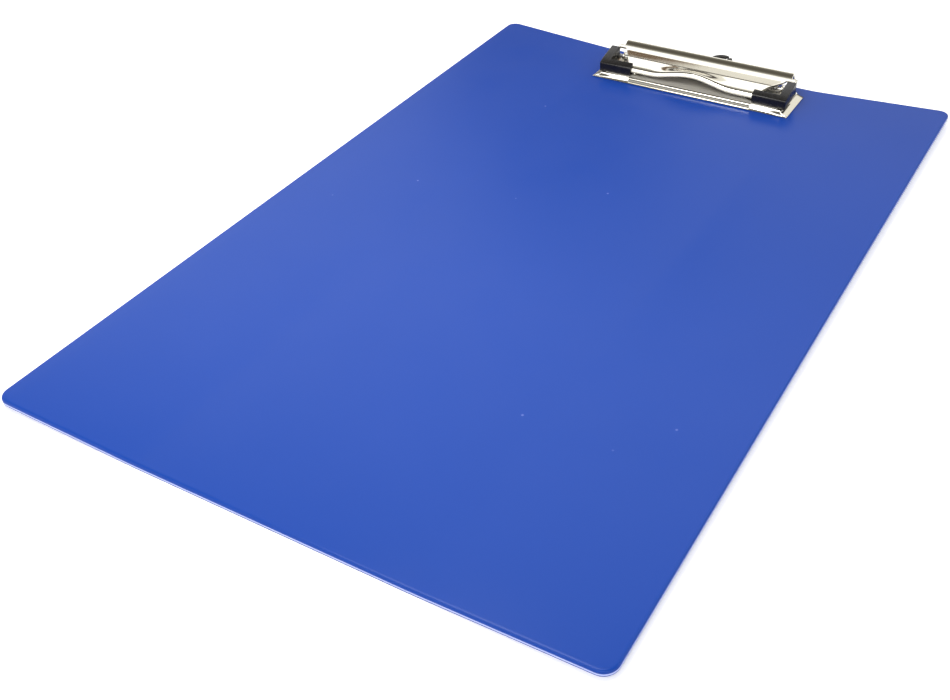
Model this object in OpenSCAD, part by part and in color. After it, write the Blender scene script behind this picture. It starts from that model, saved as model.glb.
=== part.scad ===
// Clipboard: film-covered board with a pressed lever clip and a sliding hanging hook.
// Frame: X to the right, Y towards the clip end, Z out of the writing face.
// Origin: centre of the board's underside. All sizes in millimetres.

/* [Board] */
// Width of the board
board_w = 230; // [225:1:240]
// Length of the board
board_l = 340; // [330:1:350]
// Total thickness of the board
board_t = 2; // [1.8:0.1:3]
// Corner radius of the board
corner_r = 5; // [4:0.5:12]
// Thickness of one cover film
film_t = 0.25; // [0.2:0.05:0.3]
// Width of the welded seam outside the core
seam_w = 1.8; // [1.2:0.1:3]
// Half width of the middle that stays flat
flat_half = 50.5; // [50:0.5:60]
// Upward lean of the two long sides at the clip end, as rise over run
lean_far = 0.058; // [0:0.002:0.08]
// Upward lean of the two long sides at the near end, as rise over run
lean_near = 0.03; // [0:0.002:0.08]
// How gently the lean begins
lean_start = 3; // [2:0.5:8]

/* [Clip] */
// Half width of the base plate
base_hw = 49.7; // [49.2:0.1:50.2]
// Distance from the board's clip end to the base plate's front edge
clip_back = 33.3; // [31:0.1:36]
// Depth of the base plate, front to back
base_d = 25.3; // [24.8:0.1:26]
// Thickness of the base plate sheet
base_t = 0.6; // [0.5:0.05:0.7]
// Height of the platform's top above the board
platform_h = 2.5; // [2.4:0.05:2.6]
// Thickness of the jaw sheet
jaw_t = 0.8; // [0.6:0.05:0.9]
// Height of the wave pressed into the middle of the jaw
wave_h = 3.3; // [2:0.1:3.6]
// Half width of that wave
wave_hw = 22; // [18:1:26]

/* [Axle and springs] */
// Radius of the axle pin
axle_r = 1; // [0.8:0.05:1.1]
// Axle's distance behind the base plate's front edge
axle_v = 17.8; // [17.6:0.1:18]
// Axle's height above the board
axle_h = 4.9; // [4.8:0.05:5]
// Radial running clearance on the axle
axle_fit = 0.05; // [0.02:0.01:0.09]
// Spring wire diameter
wire_d = 0.8; // [0.6:0.05:0.9]
// Turns in each spring
spring_turns = 9; // [6:1:12]

/* [Hanging hook] */
// Thickness of the hook
hook_t = 1.1; // [1:0.05:1.2]
// Width of the hook's tongue
hook_w = 11; // [10:0.5:12]
// Radius of the hanging eye
eye_r = 3; // [2.6:0.1:3.2]
// Reach of the extended hook beyond the board's edge
hook_reach = 15.7; // [13:0.1:16]

/* [Rivets] */
// Rivet's distance from the middle of the clip
rivet_x = 30; // [28:1:32]
// Rivet's distance behind the base plate's front edge
rivet_v = 11; // [10:0.5:12]
// Radius of the rivet shank
rivet_r = 1.6; // [1.4:0.1:1.8]

/* [Hidden] */
eps = 0.01;
smooth = 64;

clip_y = board_l / 2 - clip_back;      // base plate's front edge

arc_rows = 6;                           // steps round each corner
straight_rows = 8;                      // steps along the straight part of a long side
flat_cols = 2;                          // columns over half of the flat middle
lean_cols = 7;                          // columns over each leaning side
side_cols = flat_cols + lean_cols;
level_rows = 2 * arc_rows + straight_rows + 1;
bond_gap = 0.05;                        // glue line between the core and the films

rivet_head_r = 3.2;
rivet_fit = 0.05;
recess_r = 3.4;
recess_d = 1.1;
back_gap = 0.15;
dimple_r = 4.8;

rim_d = 1.2;                            // flat front rim of the base plate
flange_x = 45.8;                        // where the base plate turns down at its ends
tongue_hw = 36;                         // half width of the base plate behind the jaw
tongue_v = 21.3;
ear_x = 40.5;
ear_t = 0.8;
lug_r = 2.2;
side_x = 46;                            // outer face of the jaw's side walls
window_x = 41.5;                        // inner edge of the windows beside the axle, at the back
window_front_x = 34;                    // and at the front
window_v = [8, 20.5];
ridge_x = 43.2;                         // half length of the pressing ridge

cap_x0 = 31;
cap_x1 = 47.5;
cap_arm = 4.2;
cap_v0 = 3.3;
cap_v1 = 6.6;
cap_v2 = 17.5;
cap_bottom = 2.6;
pocket_gap = 0.05;

spring_x = 34;
spring_r = 1.45;
spring_steps = 18;

guide_x = 6.1;
guide_w = 2.2;
guide_v = 21.8;
guide_l = 3;
head_w = 18;
head_l = 4;
hook_gap = 0.1;                         // hook's running height above the board

// ---------- Board ----------

// Height that the lean of the long sides adds at x, y
function lift(x, y) =
    let (out = max(0, abs(x) - flat_half),
         lean = (lean_far + lean_near) / 2 + (lean_far - lean_near) * y / board_l)
    lean * (norm([out, lean_start]) - lean_start);

// Rows along the board as [y, half width]: round corners at both ends, straight between
function board_rows(inset) =
    let (r = corner_r - inset, half_l = board_l / 2 - corner_r, half_w = board_w / 2 - corner_r,
         arc = [for (k = [0 : arc_rows]) 90 * k / arc_rows])
    concat([for (a = arc) [-half_l - r * cos(a), half_w + r * sin(a)]],
           [for (k = [1 : straight_rows - 1]) [-half_l + 2 * half_l * k / straight_rows, half_w + r]],
           [for (a = arc) [half_l + r * sin(a), half_w + r * cos(a)]]);

// Column position: even steps over the flat middle, then widening steps over each leaning side
function column_x(i, half_w) =
    let (n = abs(i))
    sign(i) * (n <= flat_cols ? flat_half * n / flat_cols
                              : flat_half + (half_w - flat_half) * pow((n - flat_cols) / lean_cols, 2));

// All points of one level of the board, row by row
function level_points(inset, z) = [for (row = board_rows(inset), i = [-side_cols : side_cols])
    let (x = column_x(i, row[1])) [x, row[0], z + lift(x, row[0])]];

// The level's edge points in order: along the near end, up the right, back along the far end
function edge_order() =
    let (n = 2 * side_cols + 1, m = level_rows)
    concat([for (i = [0 : n - 2]) i],
           [for (j = [0 : m - 2]) j * n + n - 1],
           [for (i = [n - 1 : -1 : 1]) (m - 1) * n + i],
           [for (j = [m - 1 : -1 : 1]) j * n]);

// Solid through a list of [inset, height] levels: a surface on the first and on the last,
// and a wall round the edge from each level to the next
module board_solid(levels) {
    n = 2 * side_cols + 1;
    size = n * level_rows;
    last = (len(levels) - 1) * size;
    edge = edge_order();
    points = [for (l = levels) each level_points(l[0], l[1])];
    cells = [for (j = [0 : level_rows - 2], i = [0 : n - 2]) j * n + i];
    under = [for (c = cells) each [[c, c + 1, c + n], [c + 1, c + n + 1, c + n]]];
    over = [for (t = under) [t[2] + last, t[1] + last, t[0] + last]];
    walls = [for (l = [0 : len(levels) - 2], k = [0 : len(edge) - 1])
        let (a = edge[k] + l * size, b = edge[(k + 1) % len(edge)] + l * size)
        each [[a, a + size, b], [b, a + size, b + size]]];
    polyhedron(points, concat(under, over, walls), convexity = 4);
}

module at_rivets() {
    for (sx = [-1, 1]) translate([sx * rivet_x, clip_y + rivet_v, 0]) children();
}

module core_board() {
    color("tan") difference() {
        board_solid([[seam_w + bond_gap, film_t + bond_gap],
                     [seam_w + bond_gap, board_t - film_t - bond_gap]]);
        at_rivets() {
            translate([0, 0, -1]) cylinder(h = board_t + 2, r = rivet_r, $fn = smooth);
            translate([0, 0, -1]) cylinder(h = 1 + recess_d, r = recess_r, $fn = smooth);
        }
    }
}

module front_film() {
    color("royalblue") difference() {
        board_solid([[seam_w, board_t - film_t], [seam_w, film_t + bond_gap],
                     [0, film_t + bond_gap], [0, board_t]]);
        at_rivets() translate([0, 0, -1]) cylinder(h = board_t + 2, r = rivet_r, $fn = smooth);
    }
}

module back_film() {
    color("mediumblue") difference() {
        board_solid([[0, 0], [0, film_t]]);
        at_rivets() translate([0, 0, -1]) cylinder(h = board_t + 2, r = recess_r, $fn = smooth);
    }
}

// ---------- Sheet metal helpers ----------

function unit(p) = p / norm(p);
function left_of(d) = [-d[1], d[0]];
function seg_dir(pts, i) = unit(pts[i + 1] - pts[i]);

// Mitred offset of point i of a polyline by distance d to its left
function offset_point(pts, i, d) =
    let (last = len(pts) - 1,
         a = left_of(seg_dir(pts, i == 0 ? 0 : i - 1)),
         b = left_of(seg_dir(pts, i == last ? last - 1 : i)),
         m = unit(a + b))
    pts[i] + m * d / (m * a);

// Closed outline of a sheet of thickness t whose middle follows a polyline
function sheet_outline(pts, t) = concat(
    [for (i = [0 : len(pts) - 1]) offset_point(pts, i, t / 2)],
    [for (i = [len(pts) - 1 : -1 : 0]) offset_point(pts, i, -t / 2)]);

// Extrude a (depth, height) outline along X from x0 to x1, in the clip's own frame:
// depth behind the base plate's front edge and height above the board
module along_x(x0, x1) {
    translate([x0, clip_y, board_t]) rotate([90, 0, 90]) linear_extrude(x1 - x0) children();
}

module sheet_along_x(x0, x1, pts, t) {
    along_x(x0, x1) polygon(sheet_outline(pts, t));
}

module both_sides() {
    children();
    mirror([1, 0, 0]) children();
}

// ---------- Base plate, rivets and axle ----------

base_mid = base_t / 2;
platform_mid = platform_h - base_t / 2;
front_line = [[0, base_mid], [rim_d, base_mid], [rim_d + 1, platform_mid], [tongue_v, platform_mid]];
tongue_line = [[tongue_v - 1, platform_mid], [base_d, platform_mid]];
side_line = [[flange_x - 2, platform_mid], [flange_x, platform_mid],
             [flange_x + 0.7, platform_mid - 0.8], [base_hw, base_mid]];

module base_ear() {
    along_x(ear_x, ear_x + ear_t) difference() {
        union() {
            translate([axle_v, axle_h]) circle(lug_r, $fn = smooth);
            translate([axle_v - lug_r, platform_mid])
                square([2 * lug_r, axle_h - platform_mid]);
        }
        translate([axle_v, axle_h]) circle(axle_r + axle_fit, $fn = smooth);
    }
}

module base_plate() {
    color("silver") difference() {
        union() {
            sheet_along_x(-flange_x, flange_x, front_line, base_t);
            sheet_along_x(-tongue_hw, tongue_hw, tongue_line, base_t);
            both_sides() {
                translate([0, clip_y + 2 * rim_d, board_t]) rotate([90, 0, 0]) mirror([0, 0, 1])
                    linear_extrude(tongue_v) polygon(sheet_outline(side_line, base_t));
                along_x(flange_x - eps, base_hw - 1) square([rim_d, base_t]);
                base_ear();
                translate([guide_x, clip_y + guide_v, board_t])
                    cube([guide_w, guide_l, platform_mid]);
            }
            at_rivets() translate([0, 0, board_t])
                cylinder(h = platform_h, r = dimple_r + base_t, $fn = smooth);
        }
        at_rivets() {
            translate([0, 0, board_t + base_t]) cylinder(h = 10, r = dimple_r, $fn = smooth);
            translate([0, 0, board_t - 1]) cylinder(h = 10, r = rivet_r, $fn = smooth);
        }
    }
}

// Rivet with a domed head over the base plate and a flat head set into the board's back
module rivet() {
    head_z = board_t + base_t;
    dome_r = 4.8;
    dome_h = dome_r - sqrt(dome_r * dome_r - rivet_head_r * rivet_head_r);
    translate([0, 0, back_gap]) cylinder(h = head_z, r = rivet_r - rivet_fit, $fn = smooth);
    translate([0, 0, back_gap])
        cylinder(h = recess_d - back_gap, r = recess_r - rivet_fit, $fn = smooth);
    intersection() {
        translate([0, 0, head_z]) cylinder(h = dome_h, r = rivet_head_r, $fn = smooth);
        translate([0, 0, head_z + dome_h - dome_r]) sphere(dome_r, $fn = smooth);
    }
}

module rivet_left() {
    color("gainsboro") translate([-rivet_x, clip_y + rivet_v, 0]) rivet();
}

module rivet_right() {
    color("gainsboro") translate([rivet_x, clip_y + rivet_v, 0]) rivet();
}

module axle_pin() {
    color("gray") translate([0, clip_y + axle_v, board_t + axle_h]) rotate([0, 90, 0])
        cylinder(h = 2 * side_x, r = axle_r, center = true, $fn = smooth);
}

// ---------- Torsion springs ----------

// Ring of points round a path point p, in the plane of directions u and w
function ring(p, u, w, r, n) = [for (k = [0 : n - 1])
    p + r * (cos(360 * k / n) * u + sin(360 * k / n) * w)];

spring_len = spring_turns * wire_d * 1.12;
lower_leg = 5.4;
leg_drop = 0.5;                         // how far the lower leg leans down to the platform
upper_leg = 1.8;

// The wire's path: lower leg, coil round the X axis, upper leg
function spring_path() = concat(
    [[0, lower_leg, -spring_r - leg_drop], [0, lower_leg / 2, -spring_r - leg_drop / 2]],
    [for (i = [0 : spring_turns * spring_steps])
        let (a = -90 - 360 * i / spring_steps, f = i / (spring_turns * spring_steps))
        [f * spring_len, spring_r * cos(a), spring_r * sin(a)]],
    [for (a = [-30, -60, -90, -120, -150])
        [spring_len, spring_r * cos(a - 90), spring_r * sin(a - 90)]],
    [[spring_len, upper_leg / 2, spring_r], [spring_len, upper_leg, spring_r]]);

// Tube swept along a path that never runs along X
module wire(path, r, n) {
    last = len(path) - 1;
    rings = [for (i = [0 : last])
        let (d = unit(path[min(i + 1, last)] - path[max(i - 1, 0)]),
             u = unit([1, 0, 0] - d[0] * d),
             w = cross(d, u))
        each ring(path[i], u, w, r, n)];
    sides = [for (i = [0 : last - 1], k = [0 : n - 1])
        let (a = i * n + k, b = i * n + (k + 1) % n)
        each [[a, b, a + n], [b, b + n, a + n]]];
    polyhedron(rings, concat([[for (k = [n - 1 : -1 : 0]) k]], sides,
                             [[for (k = [0 : n - 1]) last * n + k]]), convexity = 8);
}

module spring(side) {
    translate([side * spring_x, clip_y + axle_v, board_t + axle_h]) scale([side, 1, 1])
        translate([-spring_len / 2, 0, 0]) wire(spring_path(), wire_d / 2, 8);
}

module spring_left() {
    color("dimgray") spring(-1);
}

module spring_right() {
    color("dimgray") spring(1);
}

// ---------- Jaw ----------

// Height added by the wave at distance x from the middle
function wave(x) = abs(x) < wave_hw ? wave_h * pow(cos(90 * x / wave_hw), 2) : 0;

// Middle line of the jaw sheet as (depth, height) points, for a wave height b
function jaw_line(b) = [
    [4.3, 4.4 + b], [4.8, 5.4 + b], [5.2, 5.95 + b], [5.9, 6.25 + b], [8, 6.75 + 0.62 * b],
    [11, 7.25 + 0.18 * b], [13.6, 7.6], [17.5, 7.6], [20.5, 7.8], [23.4, 8.4],
    [25.5, 9.75], [26.1, 9.5], [28.7, 5.1], [29.3, 4.75], [30, 4.95]];
front_end = 4;
back_start = 8;
back_end = 9;

// Windows beside the axle, which taper the panel towards the front
module window() {
    translate([0, clip_y, board_t + platform_h]) linear_extrude(2 * wave_h)
        polygon([[window_front_x, window_v[0]], [side_x, window_v[0]], [side_x, window_v[1]],
                 [window_x, window_v[1]]]);
}

function sub_line(pts, first, last) = [for (i = [first : last]) pts[i]];

// Middle of the jaw as one closed surface, with the wave pressed into its front
module wavy_panel(half, columns) {
    outlines = [for (c = [0 : columns])
        let (x = -half + 2 * half * c / columns)
        [for (p = sheet_outline(jaw_line(wave(x)), jaw_t)) [x, clip_y + p[0], board_t + p[1]]]];
    n = len(outlines[0]);
    half_n = n / 2;
    points = [for (o = outlines) each o];
    sides = [for (c = [0 : columns - 1], k = [0 : n - 1])
        let (a = c * n + k, b = c * n + (k + 1) % n)
        each [[a, b, a + n], [b, b + n, a + n]]];
    // Each end is a strip of quads between the two faces of the sheet
    end_cap = [for (k = [0 : half_n - 2])
        [for (i = [k, k + 1, n - 2 - k, n - 1 - k]) i + columns * n]];
    start_cap = [for (q = end_cap) [for (i = [3 : -1 : 0]) q[i] - columns * n]];
    polyhedron(points, concat(sides, start_cap, end_cap), convexity = 6);
}

module jaw_side_wall() {
    along_x(side_x - jaw_t, side_x) difference() {
        union() {
            polygon([[4.5, 4.3], [5.5, 6.1], [8, 7], [12, 8.1], [20.5, 8.2], [23.4, 8.8],
                     [23.4, 7.9], [19.5, 5.5], [axle_v, axle_h - 1.5], [12, 4.1]]);
            translate([axle_v, axle_h]) circle(lug_r, $fn = smooth);
        }
        translate([axle_v, axle_h]) circle(axle_r + axle_fit, $fn = smooth);
    }
}

module jaw_plate() {
    flat_line = jaw_line(0);
    color("gainsboro") union() {
        wavy_panel(wave_hw + 1, 30);
        both_sides() {
            difference() {
                sheet_along_x(wave_hw + 1, window_x, flat_line, jaw_t);
                window();
            }
            sheet_along_x(window_x - eps, side_x, sub_line(flat_line, 0, front_end), jaw_t);
            sheet_along_x(window_x - eps, side_x, sub_line(flat_line, back_start, back_end), jaw_t);
            sheet_along_x(window_x - eps, ridge_x, sub_line(flat_line, back_start, 14), jaw_t);
            jaw_side_wall();
        }
    }
}

// ---------- Corner caps ----------

module cap_body() {
    front = [[cap_v0, cap_bottom], [cap_v0, 6.5], [cap_v0 + 0.4, 6.9], [cap_v1, 8.1],
             [cap_v1, cap_bottom]];
    side = [[cap_v0, 2.1], [cap_v0, 6.5], [cap_v0 + 0.4, 6.9], [cap_v2 - 0.8, 10.2], [cap_v2, 9.6],
            [cap_v2, 4.7], [cap_v2 - 1.2, 4.1]];
    along_x(cap_x0, cap_x1 - cap_arm + eps) polygon(front);
    along_x(cap_x1 - cap_arm, cap_x1) polygon(side);
}

// Pocket for the jaw's corner, open towards the middle of the clip
module cap_pocket() {
    gap_t = jaw_t + 2 * pocket_gap;
    line = sub_line(jaw_line(0), 0, front_end);
    along_x(cap_x0 - 1, side_x + pocket_gap) polygon(sheet_outline(line, gap_t));
    along_x(side_x - jaw_t - pocket_gap, side_x + pocket_gap)
        polygon([[4, 0], [4.5, 5.8], [5.4, 6.7], [8, 7.1], [12, 8.2], [20, 8.3], [20, 0]]);
    // room round the end of the axle, its ear and the base plate's edge
    translate([tongue_hw, clip_y + 5.6, 0])
        cube([side_x - tongue_hw + pocket_gap, cap_v2, board_t + 6.5]);
}

module corner_cap_right() {
    color("black") difference() {
        cap_body();
        cap_pocket();
        translate([0, clip_y, 0]) cube([cap_x1 - 0.6, board_l, board_t + cap_bottom]);
    }
}

module corner_cap_left() {
    mirror([1, 0, 0]) corner_cap_right();
}

// ---------- Hanging hook ----------

module hanger_hook() {
    tip_y = board_l / 2 + hook_reach;
    eye_y = tip_y - hook_w / 2;
    head_y = clip_y + guide_v - 0.2 - head_l;
    slot_w = 1.5;
    slot_angle = 55;
    color("black") translate([0, 0, board_t + hook_gap]) linear_extrude(hook_t) difference() {
        union() {
            translate([0, eye_y]) circle(hook_w / 2, $fn = smooth);
            translate([-hook_w / 2, head_y]) square([hook_w, eye_y - head_y]);
            translate([-head_w / 2, head_y]) square([head_w, head_l]);
        }
        translate([0, eye_y]) circle(eye_r, $fn = smooth);
        translate([0, eye_y]) rotate(slot_angle) translate([0, -slot_w / 2]) square([hook_w, slot_w]);
    }
}

core_board();
front_film();
back_film();
base_plate();
rivet_left();
rivet_right();
axle_pin();
spring_left();
spring_right();
jaw_plate();
corner_cap_left();
corner_cap_right();
hanger_hook();
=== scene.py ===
"""Looks of the clipboard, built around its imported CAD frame. Metres; X right, Y to the clip end, Z up."""
import math

import bmesh
import bpy
from mathutils import Matrix, Vector


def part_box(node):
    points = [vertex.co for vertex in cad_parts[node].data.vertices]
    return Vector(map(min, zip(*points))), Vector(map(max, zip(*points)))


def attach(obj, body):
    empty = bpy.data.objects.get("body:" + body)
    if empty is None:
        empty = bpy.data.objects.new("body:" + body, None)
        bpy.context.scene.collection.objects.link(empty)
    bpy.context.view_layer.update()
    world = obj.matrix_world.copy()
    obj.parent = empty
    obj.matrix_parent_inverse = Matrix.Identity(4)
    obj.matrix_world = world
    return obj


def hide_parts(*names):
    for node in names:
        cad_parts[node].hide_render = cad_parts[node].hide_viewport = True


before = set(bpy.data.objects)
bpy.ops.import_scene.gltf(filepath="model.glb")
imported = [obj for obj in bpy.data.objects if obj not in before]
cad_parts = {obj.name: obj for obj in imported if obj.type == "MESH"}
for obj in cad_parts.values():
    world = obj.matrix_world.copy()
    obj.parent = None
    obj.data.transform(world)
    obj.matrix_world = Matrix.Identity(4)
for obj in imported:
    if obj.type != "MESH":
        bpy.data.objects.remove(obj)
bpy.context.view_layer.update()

MM = 0.001
scene = bpy.context.scene


# ---------- Places taken from the frame ----------

film_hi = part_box("front_film")[1]
base_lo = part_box("base_plate")[0]
hook_lo, hook_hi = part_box("hanger_hook")
axle_lo, axle_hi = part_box("axle_pin")

HALF_W = film_hi.x
HALF_L = film_hi.y
BOARD_T = base_lo.z
CLIP_Y = base_lo.y
AXLE = (axle_lo + axle_hi) / 2

FILM_T = 0.25 * MM
BOND = 0.05 * MM
CORNER_R = 5 * MM
SEAM_W = 1.8 * MM
FLAT_HALF = 50.5 * MM
LEAN_FAR = 0.058
LEAN_NEAR = 0.03
LEAN_START = 3 * MM


# ---------- Camera ----------

CAMERA_SPOT = Vector((0.18764, -0.32338, 0.24727))
CAMERA_LOOK = Vector((-0.39614, 0.66252, -0.63572))
CAMERA_ROLL = math.radians(-1.983)
SENSOR_W = 36
LENS = 42.78
SHIFT_X, SHIFT_Y = -0.0647, 0.0123
NEAREST = 10 * MM


def add_camera():
    """Camera above the near right of the board, looking towards the clip, turned a little about its own axis."""
    data = bpy.data.cameras.new("camera")
    data.sensor_width = SENSOR_W
    data.lens = LENS
    data.shift_x = SHIFT_X
    data.shift_y = SHIFT_Y
    data.clip_start = NEAREST
    camera = bpy.data.objects.new("camera", data)
    scene.collection.objects.link(camera)
    turn = CAMERA_LOOK.to_track_quat("-Z", "Y").to_matrix() @ Matrix.Rotation(CAMERA_ROLL, 3, "Z")
    camera.matrix_world = Matrix.Translation(CAMERA_SPOT) @ turn.to_4x4()
    scene.camera = camera


add_camera()


# ---------- Node material helpers ----------

MIX_FACTOR, MIX_A, MIX_B, MIX_RESULT = 0, 6, 7, 2
NOISE_LOW, NOISE_HIGH = 0.3, 0.7
BLACK, WHITE = (0, 0, 0, 1), (1, 1, 1, 1)


class Nodes:
    """Short way to build a node material: add nodes, set sockets and link them."""

    def __init__(self, name, **constants):
        self.material = bpy.data.materials.new(name)
        self.material.use_nodes = True
        self.tree = self.material.node_tree
        self.tree.nodes.clear()
        self.out = self.add("ShaderNodeOutputMaterial")
        self.shader = self.add("ShaderNodeBsdfPrincipled")
        self.link(self.shader, "BSDF", self.out, "Surface")
        self.coords = self.add("ShaderNodeTexCoord")
        self.put(self.shader, **constants)

    def add(self, kind, **settings):
        node = self.tree.nodes.new(kind)
        for key, value in settings.items():
            setattr(node, key, value)
        return node

    def link(self, a, out, b, into):
        self.tree.links.new(a.outputs[out], b.inputs[into])

    def put(self, node, **values):
        for key, value in values.items():
            node.inputs[key.replace("_", " ")].default_value = value

    def noise(self, scale, detail, rough=0.5, stretch=None):
        """Noise in object coordinates, which a stretch draws out along one axis."""
        node = self.add("ShaderNodeTexNoise")
        self.put(node, Scale=scale, Detail=detail, Roughness=rough)
        if stretch is None:
            self.link(self.coords, "Object", node, "Vector")
        else:
            mapping = self.add("ShaderNodeMapping")
            self.put(mapping, Scale=stretch)
            self.link(self.coords, "Object", mapping, "Vector")
            self.link(mapping, "Vector", node, "Vector")
        return node

    def ramp(self, source, out, low, high, a=BLACK, b=WHITE):
        node = self.add("ShaderNodeValToRGB")
        for stop, position, colour in zip(node.color_ramp.elements, (low, high), (a, b)):
            stop.position = position
            stop.color = colour
        self.link(source, out, node, "Fac")
        return node

    def bump(self, noise, strength, distance, under=None):
        node = self.add("ShaderNodeBump")
        self.put(node, Strength=strength, Distance=distance)
        self.link(noise, "Fac", node, "Height")
        if under is not None:
            self.link(under, "Normal", node, "Normal")
        return node

    def normal(self, node):
        self.link(node, "Normal", self.shader, "Normal")

    def mix(self, factor, out, a, b):
        """Colour between a and b, where b is a colour and a is a colour or another mix."""
        node = self.add("ShaderNodeMix", data_type="RGBA")
        self.link(factor, out, node, MIX_FACTOR)
        if isinstance(a, tuple):
            node.inputs[MIX_A].default_value = (*a, 1)
        else:
            self.link(a, MIX_RESULT, node, MIX_A)
        node.inputs[MIX_B].default_value = (*b, 1)
        return node

    def colour(self, noise, a, b):
        """Base colour that drifts between a and b with a noise."""
        self.link(self.mix(noise, "Fac", a, b), MIX_RESULT, self.shader, "Base Color")

    def roughness(self, noise, low, high):
        """Roughness that drifts from low to high over the middle of a noise."""
        node = self.add("ShaderNodeMapRange")
        self.put(node, From_Min=NOISE_LOW, From_Max=NOISE_HIGH, To_Min=low, To_Max=high)
        self.link(noise, "Fac", node, "Value")
        self.link(node, "Result", self.shader, "Roughness")


def film_material():
    """Calendered blue vinyl film: satin, faintly pebbled, slightly uneven in gloss, with a few specks of dust."""
    m = Nodes("blue_film", IOR=1.4, Specular_IOR_Level=0.22)
    blue = m.mix(m.noise(scale=9, detail=2), "Fac", (0.007, 0.046, 0.285), (0.01, 0.051, 0.31))
    cells = m.add("ShaderNodeTexVoronoi", feature="F1")
    m.put(cells, Scale=55, Randomness=1.0)
    m.link(m.coords, "Object", cells, "Vector")
    specks = m.ramp(cells, "Distance", 0.018, 0.03, WHITE, BLACK)
    few = m.ramp(m.noise(scale=31, detail=1), "Fac", 0.5, 0.55)
    dust = m.add("ShaderNodeMath", operation="MULTIPLY")
    m.link(specks, "Color", dust, 0)
    m.link(few, "Color", dust, 1)
    dusty = m.mix(dust, "Value", blue, (0.09, 0.14, 0.42))
    m.link(dusty, MIX_RESULT, m.shader, "Base Color")
    m.roughness(m.noise(scale=40, detail=4), 0.2, 0.25)
    wavy = m.bump(m.noise(scale=26, detail=2), strength=0.12, distance=0.6 * MM)
    grain = m.noise(scale=2600, detail=2, rough=0.6)
    m.normal(m.bump(grain, strength=0.14, distance=0.06 * MM, under=wavy))
    return m.material


def seam_and_sheen_material():
    """The same film where it is welded over the edge: glossier, and painted paler, partly for the whitening of the
    weld and partly as a painted reflection of the light on the film's lower side.
    """
    m = Nodes("welded_seam_and_sheen", IOR=1.47, Roughness=0.3)
    # pale blue: partly the whitened weld, partly a painted reflection of the light
    m.colour(m.noise(scale=120, detail=4), (0.3, 0.36, 0.74), (0.46, 0.52, 0.86))
    m.normal(m.bump(m.noise(scale=500, detail=2), strength=0.25, distance=0.2 * MM))
    return m.material


def metal_material(name, tint, rough_low, rough_high):
    """Cold-rolled sheet or drawn wire: nearly mirror-like, with faint draw lines and wear."""
    m = Nodes(name, Metallic=1.0)
    darker = tuple(c * 0.93 for c in tint)
    m.colour(m.noise(scale=60, detail=3), darker, tint)
    lines = m.noise(scale=1.0, detail=3, rough=0.55, stretch=(60, 2600, 2600))
    m.roughness(lines, rough_low, rough_high)
    peel = m.bump(m.noise(scale=240, detail=2), strength=0.05, distance=0.3 * MM)
    m.normal(m.bump(lines, strength=0.04, distance=0.05 * MM, under=peel))
    return m.material


def satin_material():
    """The nickel plate on the pressed inner faces, which the tool left dull."""
    m = Nodes("satin_nickel", Metallic=0.55)
    m.colour(m.noise(scale=90, detail=3), (0.62, 0.59, 0.52), (0.7, 0.67, 0.6))
    lines = m.noise(scale=1.0, detail=3, rough=0.55, stretch=(90, 1800, 1800))
    m.roughness(lines, 0.36, 0.46)
    m.normal(m.bump(lines, strength=0.08, distance=0.05 * MM))
    return m.material


def grip_material():
    """Black moulded plastic of the corner caps: semi-gloss with a fine spark-eroded grain."""
    m = Nodes("black_grip", IOR=1.49, Specular_IOR_Level=0.4)
    m.colour(m.noise(scale=150, detail=3), (0.004, 0.0035, 0.004), (0.009, 0.008, 0.008))
    m.roughness(m.noise(scale=420, detail=3), 0.22, 0.34)
    m.normal(m.bump(m.noise(scale=3400, detail=2), strength=0.16, distance=0.08 * MM))
    return m.material


def hook_material():
    """Black moulded plastic of the hook, a little browner and rubbed smooth."""
    m = Nodes("black_hook", IOR=1.45, Specular_IOR_Level=0.3)
    m.colour(m.noise(scale=180, detail=3), (0.006, 0.005, 0.004), (0.014, 0.011, 0.009))
    m.roughness(m.noise(scale=500, detail=3), 0.3, 0.45)
    m.normal(m.bump(m.noise(scale=2400, detail=2), strength=0.15, distance=0.08 * MM))
    return m.material


def board_material():
    """Grey recycled board of the core, with short fibres."""
    m = Nodes("greyboard", Roughness=0.9)
    fibres = m.noise(scale=1.0, detail=4, rough=0.6, stretch=(1500, 300, 1500))
    m.colour(fibres, (0.3, 0.26, 0.2), (0.5, 0.45, 0.38))
    m.normal(m.bump(fibres, strength=0.5, distance=0.2 * MM))
    return m.material


FILM = film_material()
# pale seam colour: partly whitened weld, partly painted reflection of the light on the side wall
SEAM_AND_SHEEN = seam_and_sheen_material()
NICKEL = metal_material("nickel", (0.72, 0.69, 0.61), 0.07, 0.14)
SATIN = satin_material()
STEEL = metal_material("drawn_steel", (0.5, 0.49, 0.47), 0.22, 0.34)
GRIP = grip_material()
HOOK = hook_material()
GREYBOARD = board_material()


# ---------- Mesh helpers ----------

WELD = 0.001 * MM
SHEET_EDGE = 0.12 * MM
SOLID_EDGE = 0.15 * MM


def piece(name, points, faces, materials, marks=None):
    """Mesh object from points in metres and faces, with outward normals. Points that no face uses are dropped."""
    used = sorted({k for face in faces for k in face})
    place = {k: n for n, k in enumerate(used)}
    mesh = bpy.data.meshes.new(name)
    mesh.from_pydata([tuple(points[k]) for k in used], [], [tuple(place[k] for k in face) for face in faces])
    for material in materials:
        mesh.materials.append(material)
    if marks:
        mesh.polygons.foreach_set("material_index", marks)
    obj = bpy.data.objects.new(name, mesh)
    scene.collection.objects.link(obj)
    work = bmesh.new()
    work.from_mesh(mesh)
    bmesh.ops.remove_doubles(work, verts=work.verts, dist=WELD)
    bmesh.ops.recalc_face_normals(work, faces=work.faces)
    for face in work.faces:
        face.smooth = True
    work.to_mesh(mesh)
    work.free()
    return obj


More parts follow.
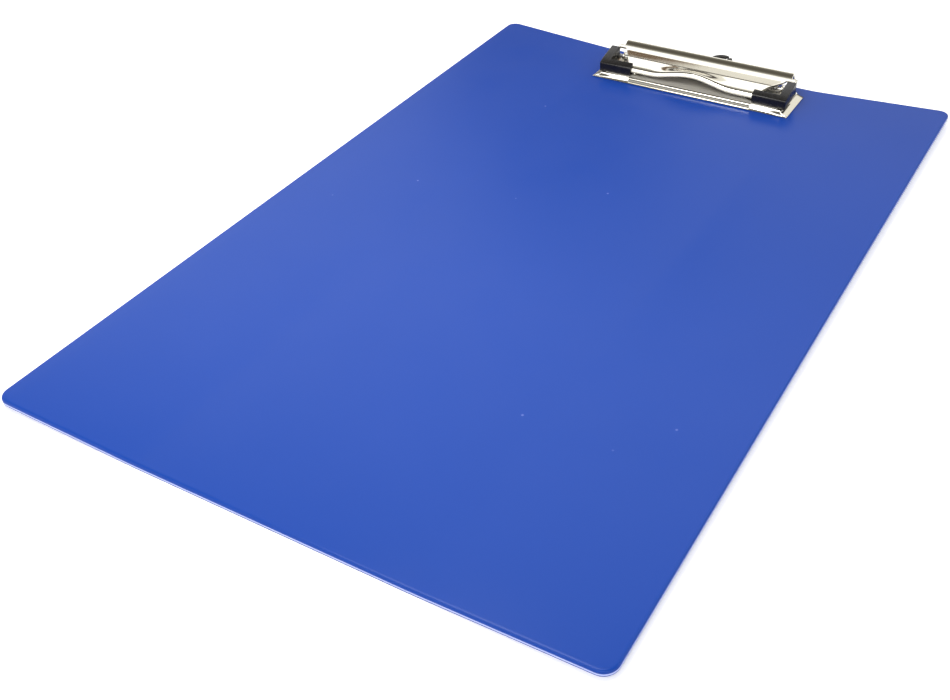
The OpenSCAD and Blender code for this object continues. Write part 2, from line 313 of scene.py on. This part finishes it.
def bevel(obj, width, segments, angle):
    mod = obj.modifiers.new("bevel", "BEVEL")
    mod.width = width
    mod.segments = segments
    mod.limit_method = "ANGLE"
    mod.angle_limit = math.radians(angle)
    mod.harden_normals = False


def clip_point(x, v, z):
    """Point of the clip from millimetres: across, behind the base plate's front edge, and up from the board."""
    return Vector((x * MM, CLIP_Y + v * MM, BOARD_T + z * MM))


def rounded(points, passes=2):
    """Polyline with its inner corners cut again and again, which rounds its bends."""
    for _ in range(passes):
        cut = [points[0]]
        for a, b in zip(points, points[1:]):
            for near in (0.75, 0.25):
                cut.append(tuple(near * p + (1 - near) * q for p, q in zip(a, b)))
        cut.append(points[-1])
        points = cut
    return points


def grid(*spans):
    """Places along a line. Each span is (start, end, step), and the last span's end closes them."""
    places = []
    for low, high, step in spans:
        n = max(1, round((high - low) / step))
        places += [low + (high - low) * k / n for k in range(n)]
    return places + [spans[-1][1]]


def mirrored(places):
    return [-x for x in reversed(places) if x > 0] + places


def smoothstep(low, high, x):
    t = min(1.0, max(0.0, (x - low) / (high - low)))
    return t * t * (3 - 2 * t)


def sheet(name, columns, lines, thickness, materials, keep, draw_in=lambda x, v: x):
    """Pressed sheet: one (v, z) line of equal length for each column x, in millimetres, thickened about its middle."""
    across = len(lines[0])
    points = [clip_point(draw_in(x, v), v, z) for x, line in zip(columns, lines) for v, z in line]
    faces = []
    for i in range(len(columns) - 1):
        middle = (columns[i] + columns[i + 1]) / 2
        for j in range(across - 1):
            if keep(middle, j):
                a = i * across + j
                faces.append((a, a + across, a + across + 1, a + 1))
    obj = piece(name, points, faces, materials)
    thick = obj.modifiers.new("sheet", "SOLIDIFY")
    thick.thickness = thickness * MM
    thick.offset = 0
    thick.use_even_offset = True
    bevel(obj, SHEET_EDGE, segments=2, angle=50)
    return obj


def extruded(name, outline, place, low, high, material, edge=SOLID_EDGE, segments=2):
    """Closed solid from a flat outline: place(a, b, h) puts outline point (a, b) at height h."""
    n = len(outline)
    points = [place(a, b, h) for h in (low, high) for a, b in outline]
    faces = [tuple(range(n - 1, -1, -1)), tuple(range(n, 2 * n))]
    faces += [(k, (k + 1) % n, n + (k + 1) % n, n + k) for k in range(n)]
    obj = piece(name, points, faces, [material])
    bevel(obj, edge, segments, angle=40)
    return obj


def upright(name, outline, x_low, x_high):
    """Nickel wall across the clip, from a (v, z) outline."""
    return extruded(name, outline, lambda v, z, x: clip_point(x, v, z), x_low, x_high, NICKEL)


def round_axle(radius, angles):
    """Arc of (v, z) points about the axle."""
    v = (AXLE.y - CLIP_Y) / MM
    z = (AXLE.z - BOARD_T) / MM
    return [(v + radius * math.cos(a), z + radius * math.sin(a)) for a in map(math.radians, angles)]


def tube(name, path, radius, material, sides=10):
    """Round wire along a path in metres, closed at both ends."""
    points = []
    last = len(path) - 1
    for i, p in enumerate(path):
        along = (path[min(i + 1, last)] - path[max(i - 1, 0)]).normalized()
        first = (Vector((1, 0, 0)) - along.x * along).normalized()
        second = along.cross(first)
        for k in range(sides):
            a = 2 * math.pi * k / sides
            points.append(p + radius * (math.cos(a) * first + math.sin(a) * second))
    faces = [tuple(range(sides)), tuple(range(last * sides, last * sides + sides))]
    for i in range(last):
        for k in range(sides):
            a = i * sides + k
            b = i * sides + (k + 1) % sides
            faces.append((a, b, b + sides, a + sides))
    return piece(name, points, faces, [material])


def merge(name, objects):
    """One object out of several, with their modifiers applied."""
    graph = bpy.context.evaluated_depsgraph_get()
    work = bmesh.new()
    for obj in objects:
        baked = bpy.data.meshes.new_from_object(obj.evaluated_get(graph))
        work.from_mesh(baked)
        bpy.data.meshes.remove(baked)
    mesh = bpy.data.meshes.new(name)
    work.to_mesh(mesh)
    work.free()
    for material in objects[0].data.materials:
        mesh.materials.append(material)
    for obj in objects:
        bpy.data.objects.remove(obj)
    joined = bpy.data.objects.new(name, mesh)
    scene.collection.objects.link(joined)
    return joined


def stand_for(obj, node, body):
    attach(obj, body)
    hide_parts(node)


# ---------- Board ----------

def lift(x, y):
    """Height that the upward lean of the long sides adds."""
    out = max(0.0, abs(x) - FLAT_HALF)
    lean = (LEAN_FAR + LEAN_NEAR) / 2 + (LEAN_FAR - LEAN_NEAR) * y / (2 * HALF_L)
    return lean * (math.hypot(out, LEAN_START) - LEAN_START)


def board_rows(inset, arc_rows=10, straight_rows=36):
    """Rows along the board as (y, half width), with round corners."""
    r = CORNER_R - inset
    half_l = HALF_L - CORNER_R
    half_w = HALF_W - CORNER_R
    angles = [math.radians(90 * k / arc_rows) for k in range(arc_rows + 1)]
    rows = [(-half_l - r * math.cos(a), half_w + r * math.sin(a)) for a in angles]
    rows += [(-half_l + 2 * half_l * k / straight_rows, half_w + r) for k in range(1, straight_rows)]
    rows += [(half_l + r * math.sin(a), half_w + r * math.cos(a)) for a in angles]
    return rows


def board_columns(half, flat_cols=4, lean_cols=18):
    right = [FLAT_HALF * n / flat_cols for n in range(1, flat_cols + 1)]
    right += [FLAT_HALF + (half - FLAT_HALF) * (n / lean_cols) ** 2 for n in range(1, lean_cols + 1)]
    return [-x for x in reversed(right)] + [0.0] + right


def board_level(inset, z):
    points = []
    for y, half in board_rows(inset):
        for x in board_columns(half):
            points.append(Vector((x, y, z + lift(x, y))))
    return points


def board_solid(name, levels, materials, seam_and_sheen_levels):
    """Closed solid through (inset, height) levels: a surface on the first and last, walls between them."""
    n = len(board_columns(HALF_W))
    m = len(board_rows(0))
    size = n * m
    edge = list(range(n - 1))
    edge += [j * n + n - 1 for j in range(m - 1)]
    edge += [(m - 1) * n + i for i in range(n - 1, 0, -1)]
    edge += [j * n for j in range(m - 1, 0, -1)]
    points = [p for inset, z in levels for p in board_level(inset, z)]
    top = (len(levels) - 1) * size
    cells = [(j * n + i, j * n + i + 1, j * n + i + n + 1, j * n + i + n)
             for j in range(m - 1) for i in range(n - 1)]
    faces = list(cells) + [tuple(k + top for k in cell) for cell in cells]
    marks = [0] * len(faces)
    for level in range(len(levels) - 1):
        for k, corner in enumerate(edge):
            a = corner + level * size
            b = edge[(k + 1) % len(edge)] + level * size
            faces.append((a, b, b + size, a + size))
            # these walls take the second material: the pale seam colour, partly painted reflection of the light
            marks.append(1 if level in seam_and_sheen_levels else 0)
    return piece(name, points, faces, materials, marks)


FILM_ROLL = [(1.1, 0.0), (0.8, -0.02), (0.52, -0.08), (0.3, -0.2), (0.12, -0.42), (0.02, -0.7), (0.0, -1.0)]


def build_front_film():
    """Front film: flat inside against the core, rolled over its edge and welded down to the back film."""
    low = FILM_T + BOND
    levels = [(SEAM_W, BOARD_T - FILM_T), (SEAM_W, low), (0.0, low)]
    levels += [(inset * MM, BOARD_T + drop * MM) for inset, drop in reversed(FILM_ROLL)]
    # the underside ring and the lower side wall get the pale seam colour, which is partly a painted reflection of the
    # light
    obj = board_solid("front_film_rolled", levels, [FILM, SEAM_AND_SHEEN], {1, 2})
    stand_for(obj, "front_film", "board")


# ---------- Base plate ----------

PLATFORM = 2.2
RIM = 0.3
BASE_T = 0.6
BASE_HALF = 49.6
BEAD_V, BEAD_H = 0.25, 0.14
STEP_START = 1.15
STEP_END = 2.0
SIDE_STEP_END, SIDE_STEP_MORE = 2.2, 1.2
ARCH_HALF = 31.0
FLANGE_TOP_X, FLANGE_X = 45.7, 46.5
FLANGE_DROP, FLANGE_SLOPE = 0.9, 1.0
RIVET_X = 30.0
RIVET_V = 11.0
DIMPLE_IN, DIMPLE_OUT = 4.2, 5.4
TONGUE_V, BACK_V = 21.3, 25.3
TONGUE_HALF = 36.0
SIDE_STRIP_X = 45.6
SATIN_HALF, SATIN_V = 44.0, 2.6
PIVOT_R = 2.2
EAR_X = (40.5, 41.3)
GUIDE_X, GUIDE_V, GUIDE_Z = (6.1, 8.3), (21.8, 24.8), (0.02, 2.0)
JAW_HALF = 46.0


def base_height(x, v):
    """Height of the base plate's middle surface at x, v in millimetres."""
    x = abs(x)
    end = STEP_END
    if x >= ARCH_HALF:
        end = SIDE_STEP_END + SIDE_STEP_MORE * (JAW_HALF - x) / (JAW_HALF - ARCH_HALF)
    front = smoothstep(STEP_START, end, v)
    bead = BEAD_H * min(smoothstep(0, BEAD_V, v), max(0.0, (STEP_START - v) / (STEP_START - BEAD_V)))
    side = PLATFORM
    if x > FLANGE_TOP_X:
        side -= FLANGE_DROP * smoothstep(FLANGE_TOP_X, FLANGE_X, x)
        side -= FLANGE_SLOPE * max(0.0, (x - FLANGE_X) / (BASE_HALF - FLANGE_X))
    z = min(RIM + bead + (PLATFORM - RIM) * front, side)
    far = math.hypot(x - RIVET_X, v - RIVET_V)
    return RIM + (z - RIM) * smoothstep(DIMPLE_IN, DIMPLE_OUT, far)


def build_base_plate():
    xs = mirrored(grid((0, 24, 2), (24, 30.9, 0.6), (30.9, 31, 0.1), (31, 36, 0.5), (36, SIDE_STRIP_X, 0.8),
                       (SIDE_STRIP_X, 46.6, 0.17), (46.6, BASE_HALF, 0.6)))
    vs = grid((0, 1.1, 0.1), (1.1, 3.6, 0.12), (3.6, 17, 0.45), (17, TONGUE_V, 1), (TONGUE_V, BACK_V, 2))
    lines = [[(v, base_height(x, v)) for v in vs] for x in xs]
    last_full = vs.index(TONGUE_V)

    def keep(x, j):
        return j < last_full or abs(x) < TONGUE_HALF or (abs(x) > SIDE_STRIP_X and j == last_full)

    plate = sheet("base_sheet", xs, lines, BASE_T, [NICKEL, SATIN], keep)
    for face in plate.data.polygons:
        if abs(face.center.x) < SATIN_HALF * MM and face.center.y > CLIP_Y + SATIN_V * MM:
            face.material_index = 1
    parts = [plate]
    foot = PLATFORM - 0.2
    arc = round_axle(PIVOT_R, range(180, -1, -15))
    outline = [(arc[0][0], foot)] + arc + [(arc[-1][0], foot)]
    parts.append(upright("ear", outline, *EAR_X))
    parts.append(upright("ear", outline, -EAR_X[1], -EAR_X[0]))
    (near_x, far_x), (front, back) = GUIDE_X, GUIDE_V
    for side in (-1, 1):
        guide = [(side * near_x, front), (side * far_x, front), (side * far_x, back), (side * near_x, back)]
        parts.append(extruded("guide", guide, clip_point, *GUIDE_Z, NICKEL))
    stand_for(merge("base_plate_pressed", parts), "base_plate", "board")


# ---------- Jaw ----------

WAVE_H = 3.3
WAVE_HALF = 22.0
JAW_T = 0.8
RIDGE_HALF = 43.2
WINDOW_X, WINDOW_FRONT_X = 41.5, 34.0
WINDOW_FRONT, WINDOW_BACK = 8.0, 20.5
BEND_V = 6.6
DRAW_X = 24.0
FRONT_ROWS_END, STRIP_ROWS_END = 7.0, 23.0
WALL_X = (45.2, 46.0)
WALL_TOP = [(4.6, 4.3), (5.6, 6.1), (9, 7.1), (12.5, 8.0), (20.5, 8.1), (23.0, 8.7), (23.2, 7.7)]
WALL_FOOT = [(12.5, 4.1)]
# (v, z, share of the wave's height) along the jaw's middle line, from the front flange to the crease
FRONT_LINE = [(4.3, 4.4, 1), (4.75, 5.3, 1), (5.2, 5.9, 1), (5.9, 6.28, 1), (8, 6.8, 0.62), (10.4, 7.2, 0.2)]
# (v, z) from the crease over the ridge to the rear leg
BACK_LINE = [(12.5, 7.62), (12.9, 7.6), (13.8, 7.47), (14.4, 7.46), (17.5, 7.46), (19.8, 7.52), (21.4, 7.88),
             (22.8, 8.25), (23.4, 8.5), (25.3, 9.75), (25.9, 9.75), (26.2, 9.4), (28.4, 5.5)]
HEM_V, HEM_Z, HEM_R = 28.65, 5.0, 0.5
HEM_ANGLES = range(0, 221, 20)


def wave(x):
    """Height of the wave pressed into the jaw's front, across the clip."""
    return WAVE_H * math.cos(math.pi / 2 * x / WAVE_HALF) ** 2 if abs(x) < WAVE_HALF else 0.0


def jaw_line(x):
    """Middle line of the jaw sheet in the column x: flange, top, crease, ridge and hem."""
    front = [(v, z + share * wave(x)) for v, z, share in FRONT_LINE]
    hem = [(HEM_V + HEM_R * (1 - math.cos(a)), HEM_Z - HEM_R * math.sin(a)) for a in map(math.radians, HEM_ANGLES)]
    return rounded(front + BACK_LINE) + hem


def draw_in(x, v):
    """Columns drawn inwards beside the windows, which taper the panel towards its front."""
    if not DRAW_X < abs(x) <= WINDOW_X or not BEND_V < v < WINDOW_BACK:
        return x
    taper = WINDOW_X - WINDOW_FRONT_X
    edge = WINDOW_FRONT_X + taper * max(0.0, (v - WINDOW_FRONT) / (WINDOW_BACK - WINDOW_FRONT))
    edge = WINDOW_X + (edge - WINDOW_X) * smoothstep(BEND_V, WINDOW_FRONT, v)
    return math.copysign(DRAW_X + (abs(x) - DRAW_X) * (edge - DRAW_X) / (WINDOW_X - DRAW_X), x)


def build_jaw():
    xs = mirrored(grid((0, WAVE_HALF, 1), (WAVE_HALF, WINDOW_X, 1.5), (WINDOW_X, RIDGE_HALF, 0.85),
                       (RIDGE_HALF, JAW_HALF, 0.7)))
    lines = [jaw_line(x) for x in xs]
    places = [v for v, _ in lines[0]]
    front_last = max(j for j, v in enumerate(places) if v < FRONT_ROWS_END)
    back_first = min(j for j, v in enumerate(places) if v > WINDOW_BACK)
    strip_last = min(j for j, v in enumerate(places) if v > STRIP_ROWS_END)

    def keep(x, j):
        x = abs(x)
        if x < WINDOW_X or j < front_last:
            return True
        return j >= back_first and (x < RIDGE_HALF or j < strip_last)

    parts = [sheet("jaw_sheet", xs, lines, JAW_T, [NICKEL], keep, draw_in)]
    outline = WALL_TOP + round_axle(PIVOT_R, range(-40, -181, -20)) + WALL_FOOT
    parts.append(upright("wall", outline, *WALL_X))
    parts.append(upright("wall", outline, -WALL_X[1], -WALL_X[0]))
    stand_for(merge("jaw_pressed", parts), "jaw_plate", "jaw")


# ---------- Corner caps ----------

CAP_XS = [31.0, 43.3, 46.9, 47.5]
CAP_VS = [3.3, 3.75, 6.6, 16.6, 17.5]
LIP_ROW, CORNER_ROW, BACK_ROW = 0, 2, 4
CAP_LIP, CAP_TOP, CAP_BACK = 6.35, 6.65, 9.7
FRONT_RISE, ARM_RISE = 0.47, 0.262
CAP_BOTTOM, BOTTOM_RISE = 2.65, 0.11
SKIRT_COLUMN, SKIRT_BOTTOM, SKIRT_RISE = 2, 2.15, 0.155


def cap_top(i, j):
    """Height of the cap's top at its column i and row j. The front arm rises faster than the side arm."""
    if j == LIP_ROW:
        return CAP_LIP
    if j == BACK_ROW:
        return CAP_BACK
    depth = CAP_VS[j] - CAP_VS[0]
    front = CAP_TOP + FRONT_RISE * depth
    arm = CAP_TOP + ARM_RISE * depth
    if i == 0:
        return front
    return arm if j > CORNER_ROW else (front + arm) / 2


def cap_bottom(i, j):
    if i >= SKIRT_COLUMN:
        return SKIRT_BOTTOM + SKIRT_RISE * (CAP_VS[j] - CAP_VS[0])
    return CAP_BOTTOM + BOTTOM_RISE * max(0.0, CAP_VS[j] - CAP_VS[CORNER_ROW])


def build_cap(side, name, node):
    """L-shaped grip: a low arm along the jaw's front and a taller arm along its side."""
    count = len(CAP_VS)
    points = [clip_point(side * x, v, layer(i, j)) for layer in (cap_bottom, cap_top)
              for i, x in enumerate(CAP_XS) for j, v in enumerate(CAP_VS)]
    half = len(points) // 2
    cells = [(i, j) for i in range(len(CAP_XS) - 1) for j in range(count - 1) if j < CORNER_ROW or i > 0]
    faces = []
    for i, j in cells:
        a, b, c, d = i * count + j, (i + 1) * count + j, (i + 1) * count + j + 1, i * count + j + 1
        faces.append((a, b, c, d))
        faces.append((a + half, b + half, c + half, d + half))
        sides = ((a, b, (i, j - 1)), (b, c, (i + 1, j)), (c, d, (i, j + 1)), (d, a, (i - 1, j)))
        faces += [(p, q, q + half, p + half) for p, q, beside in sides if beside not in cells]
    obj = piece(name, points, faces, [GRIP])
    bevel(obj, 0.4 * MM, segments=4, angle=18)
    stand_for(obj, node, "jaw")


# ---------- Springs and hook ----------

COIL_R, WIRE_R = 1.45 * MM, 0.4 * MM
TURNS = 9
STEPS_A_TURN = 20
LOWER_LEG, UPPER_LEG, LEG_DROP = 5.4 * MM, 1.8 * MM, 0.5 * MM
LEG_STEPS = 4


def build_spring(side, name, node):
    """Close-wound torsion spring round the axle, one leg on the platform and one under the jaw."""
    lo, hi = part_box(node)
    length = (hi.x - lo.x) - 2 * WIRE_R
    start = lo.x + WIRE_R if side > 0 else hi.x - WIRE_R
    total = TURNS * STEPS_A_TURN
    path = []
    for k in range(LEG_STEPS):
        left = 1 - k / LEG_STEPS
        path.append(Vector((start, AXLE.y + LOWER_LEG * left, AXLE.z - COIL_R - LEG_DROP * left)))
    # the last half turn stays in the plane of the upper leg
    for i in range(total + STEPS_A_TURN // 2):
        a = math.radians(-90 - 360 * i / STEPS_A_TURN)
        x = start + side * length * min(1.0, i / total)
        path.append(Vector((x, AXLE.y + COIL_R * math.cos(a), AXLE.z + COIL_R * math.sin(a))))
    for k in range(1, LEG_STEPS + 1):
        path.append(Vector((start + side * length, AXLE.y + UPPER_LEG * k / LEG_STEPS, AXLE.z + COIL_R)))
    stand_for(tube(name, path, WIRE_R, STEEL), node, "board")


HOOK_HALF = 5.5
EYE_R = 3.0
SLIT_HALF = 0.75
SLIT = math.radians(55)
HEAD_HALF, HEAD_L = 9, 4
HOOK_EDGE = 0.3 * MM


def build_hook():
    """Flat moulded hook with a slit eye at its tip and a wide head that stops it in the guides."""
    tip = (hook_hi.y - CLIP_Y) / MM
    head = (hook_lo.y - CLIP_Y) / MM
    low, high = (hook_lo.z - BOARD_T) / MM, (hook_hi.z - BOARD_T) / MM
    eye = tip - HOOK_HALF

    def arc(r, start, end, n):
        angles = [start + (end - start) * k / n for k in range(n + 1)]
        return [(r * math.cos(a), eye + r * math.sin(a)) for a in angles]

    outer_gap = math.asin(SLIT_HALF / HOOK_HALF)
    inner_gap = math.asin(SLIT_HALF / EYE_R)
    outline = [(-HEAD_HALF, head), (HEAD_HALF, head), (HEAD_HALF, head + HEAD_L), (HOOK_HALF, head + HEAD_L)]
    outline += arc(HOOK_HALF, 0, SLIT - outer_gap, 4)
    outline += arc(EYE_R, SLIT - inner_gap, SLIT + inner_gap - 2 * math.pi, 28)
    outline += arc(HOOK_HALF, SLIT + outer_gap, math.pi, 18)
    outline += [(-HOOK_HALF, head + HEAD_L), (-HEAD_HALF, head + HEAD_L)]
    obj = extruded("hanging_hook", outline, clip_point, low, high, HOOK, HOOK_EDGE, segments=3)
    stand_for(obj, "hanger_hook", "hook")


# ---------- Build ----------

build_front_film()
build_base_plate()
build_jaw()
build_cap(1, "cap_right", "corner_cap_right")
build_cap(-1, "cap_left", "corner_cap_left")
build_spring(-1, "spring_coil_left", "spring_left")
build_spring(1, "spring_coil_right", "spring_right")
build_hook()

for node, material in (("core_board", GREYBOARD), ("back_film", FILM), ("rivet_left", NICKEL),
                       ("rivet_right", NICKEL), ("axle_pin", STEEL)):
    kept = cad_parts[node]
    kept.data.materials.clear()
    kept.data.materials.append(material)


# ---------- Floor, light and backdrop ----------

FLOOR_HALF = 4.0
FLOOR_Z = -0.1 * MM


def add_floor():
    """Pale floor, which glows a little so that the object's shadow stays soft."""
    mesh = bpy.data.meshes.new("floor")
    corners = [(-1, -1), (1, -1), (1, 1), (-1, 1)]
    mesh.from_pydata([(x * FLOOR_HALF, y * FLOOR_HALF, FLOOR_Z) for x, y in corners], [], [(0, 1, 2, 3)])
    m = Nodes("pale_floor", Roughness=0.9, Emission_Color=WHITE, Emission_Strength=0.35)
    m.colour(m.noise(scale=3, detail=2), (0.86, 0.86, 0.86), (0.9, 0.9, 0.9))
    mesh.materials.append(m.material)
    floor = bpy.data.objects.new("floor", mesh)
    scene.collection.objects.link(floor)


def add_light(name, spot, aim, size, power):
    """Square soft light."""
    data = bpy.data.lights.new(name, "AREA")
    data.shape = "SQUARE"
    data.size = size
    data.energy = power
    light = bpy.data.objects.new(name, data)
    scene.collection.objects.link(light)
    light.location = spot
    light.rotation_euler = (Vector(aim) - Vector(spot)).to_track_quat("-Z", "Y").to_euler()


# height angle in degrees over the object, from its clip end round to its near end, and the strip's colour there
BANDS = [
    (0, (0.7, 0.7, 0.7)), (5, (0.7, 0.7, 0.7)), (8, (0.12, 0.11, 0.1)), (17, (0.12, 0.11, 0.1)),
    (22, (1.05, 1.03, 0.96)), (36, (1.2, 1.18, 1.1)), (40, (2.1, 2.1, 2.1)), (54, (2.1, 2.1, 2.1)),
    (62, (0.4, 0.39, 0.36)), (80, (0.3, 0.29, 0.25)), (90, (0.13, 0.12, 0.1)), (112, (0.13, 0.12, 0.1)),
    (120, (2.6, 2.6, 2.6)), (150, (2.6, 2.6, 2.6)), (156, (0.15, 0.14, 0.12)), (168, (0.2, 0.2, 0.18)),
    (174, (0.7, 0.7, 0.7)),
]
HALF_TURN = 180
# one warm oval in the surround: its place and half size as (sideways, height angle), and where its edge fades
BROWN = (0.2, 0.13, 0.08)
BROWN_SPOT = (-0.425, 30.0)
BROWN_SIZE = (0.095, 6.5)
BROWN_FADE = (1.2, 0.6)
BACKDROP = (0.95, 0.95, 0.95)


def add_world():
    """Studio surround of wide strips that run across the object, given by their height angle over the object."""
    world = bpy.data.worlds.new("studio")
    world.use_nodes = True
    tree = world.node_tree

    def add(kind, **settings):
        node = tree.nodes.new(kind)
        for key, value in settings.items():
            setattr(node, key, value)
        return node

    def maths(operation, a, b):
        node = add("ShaderNodeMath", operation=operation)
        for place, value in enumerate((a, b)):
            if isinstance(value, (int, float)):
                node.inputs[place].default_value = value
            else:
                tree.links.new(value, node.inputs[place])
        return node.outputs[0]

    def mix(factor, a, b):
        node = add("ShaderNodeMix", data_type="RGBA")
        tree.links.new(factor, node.inputs[MIX_FACTOR])
        tree.links.new(a, node.inputs[MIX_A])
        node.inputs[MIX_B].default_value = (*b, 1)
        return node.outputs[MIX_RESULT]

    split = add("ShaderNodeSeparateXYZ")
    tree.links.new(add("ShaderNodeTexCoord").outputs["Generated"], split.inputs[0])
    angle = maths("MULTIPLY", maths("ARCTAN2", split.outputs["Z"], split.outputs["Y"]), HALF_TURN / math.pi)
    strips = add("ShaderNodeValToRGB")
    stops = strips.color_ramp.elements
    for degrees, _ in BANDS[1:-1]:
        stops.new(degrees / HALF_TURN)
    for stop, (degrees, colour) in zip(stops, BANDS):
        stop.position = degrees / HALF_TURN
        stop.color = (*colour, 1)
    tree.links.new(maths("DIVIDE", angle, HALF_TURN), strips.inputs["Fac"])
    across = maths("DIVIDE", maths("SUBTRACT", split.outputs["X"], BROWN_SPOT[0]), BROWN_SIZE[0])
    upward = maths("DIVIDE", maths("SUBTRACT", angle, BROWN_SPOT[1]), BROWN_SIZE[1])
    away = maths("ADD", maths("MULTIPLY", across, across), maths("MULTIPLY", upward, upward))
    inside = add("ShaderNodeMapRange", interpolation_type="SMOOTHSTEP")
    inside.inputs["From Min"].default_value, inside.inputs["From Max"].default_value = BROWN_FADE
    tree.links.new(away, inside.inputs["Value"])
    studio = mix(inside.outputs["Result"], strips.outputs["Color"], BROWN)
    # the strips light the object and show in its gloss, and behind it the surround is plain
    seen = mix(add("ShaderNodeLightPath").outputs["Is Camera Ray"], studio, BACKDROP)
    tree.links.new(seen, tree.nodes["Background"].inputs["Color"])
    scene.world = world


add_floor()
add_world()
add_light("key_softbox", spot=(-0.06, -0.1, 0.33), aim=(-0.02, -0.02, 0), size=0.2, power=0.9)
scene.view_settings.view_transform = "Standard"
